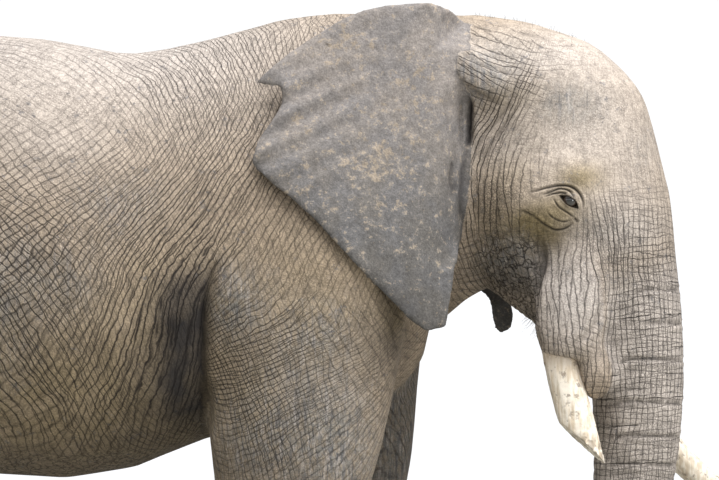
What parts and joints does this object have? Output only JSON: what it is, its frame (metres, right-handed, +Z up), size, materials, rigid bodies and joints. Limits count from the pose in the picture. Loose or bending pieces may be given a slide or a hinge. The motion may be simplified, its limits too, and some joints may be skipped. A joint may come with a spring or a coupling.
{
  "type": "elephant",
  "caption": "Life-size African savanna elephant standing at rest: large ears, hanging trunk, one whole tusk and one broken short.",
  "frame": {"origin": "on the floor under the middle of the animal, at the centre of its bounding box's bottom", "axes": "+X the way the animal faces, +Y its left side, +Z up"},
  "size_m": [4.3906, 1.7046, 3.053],
  "materials": {
    "skin": "dry, dusty, deeply creased hide",
    "ear_skin": "smoother grey hide, speckled with dried mud",
    "ivory": "satin, stained and pitted ivory",
    "nail_horn": "worn horn",
    "eye": "wet, dark",
    "tail_hair": "coarse black hair"
  },
  "bodies": {
    "root": {"barrel": "skin", "ear_left": "ear_skin", "ear_right": "ear_skin", "eye_left": "eye", "eye_right": "eye", "forefoot_left": "skin", "forefoot_right": "skin", "foreleg_left": "skin", "foreleg_right": "skin", "head": "skin", "hindfoot_left": "skin", "hindfoot_right": "skin", "hindleg_left": "skin", "hindleg_right": "skin", "lower_jaw": "skin", "nail_fore_left_1": "nail_horn", "nail_fore_left_2": "nail_horn", "nail_fore_left_3": "nail_horn", "nail_fore_left_4": "nail_horn", "nail_fore_right_1": "nail_horn", "nail_fore_right_2": "nail_horn", "nail_fore_right_3": "nail_horn", "nail_fore_right_4": "nail_horn", "nail_hind_left_1": "nail_horn", "nail_hind_left_2": "nail_horn", "nail_hind_left_3": "nail_horn", "nail_hind_right_1": "nail_horn", "nail_hind_right_2": "nail_horn", "nail_hind_right_3": "nail_horn", "neck": "skin", "tail": "skin", "tail_brush": "tail_hair", "trunk_lower": "skin", "trunk_tip": "skin", "trunk_upper": "skin", "tusk_left": "ivory", "tusk_right": "ivory"}
  },
  "joints": []
}
